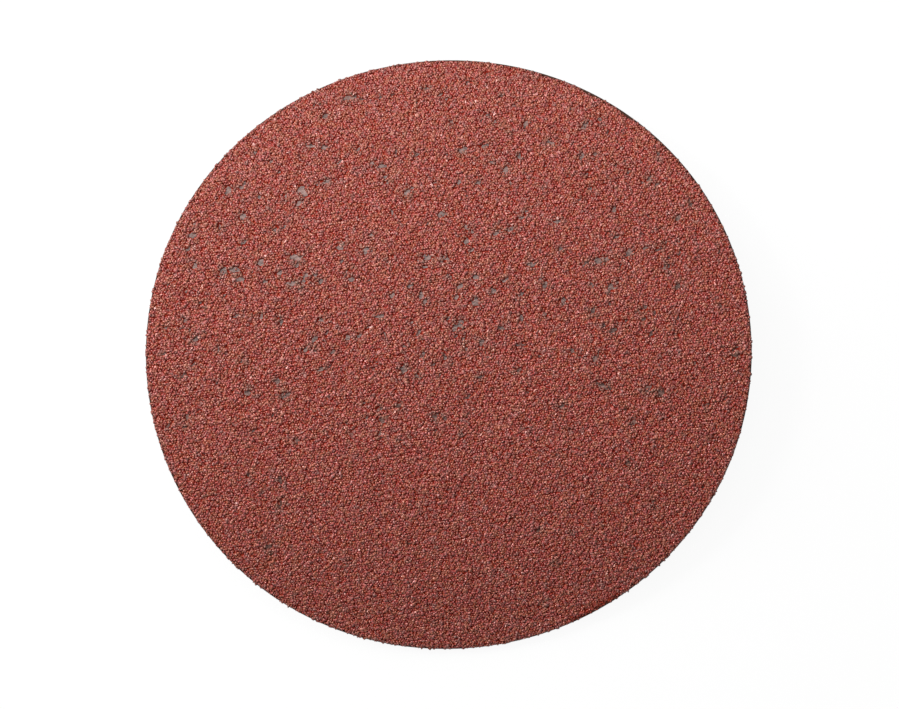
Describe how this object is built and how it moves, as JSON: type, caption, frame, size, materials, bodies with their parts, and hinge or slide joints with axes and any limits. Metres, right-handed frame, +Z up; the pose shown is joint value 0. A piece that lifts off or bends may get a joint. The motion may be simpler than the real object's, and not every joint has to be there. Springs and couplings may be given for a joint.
{
  "type": "hook and loop sanding disc",
  "caption": "Round abrasive disc without holes: a coarse reddish brown grit coat on heavy paper, with a loop fabric back that grips a hook pad. It has a slight curl.",
  "frame": {"origin": "on the floor under the middle of the disc, which lies grit side up and comes down to the floor at its front and back edge", "axes": "+X along the straight lines of the curl, +Y across them, +Z up and out of the grit at the middle of the disc"},
  "size_m": [0.125, 0.1238, 0.0103],
  "materials": {
    "grit": "satin",
    "paper": "matte",
    "loops": "matte"
  },
  "bodies": {
    "root": {"abrasive_coat": "grit", "backing_paper": "paper", "loop_fabric": "loops"}
  },
  "joints": []
}
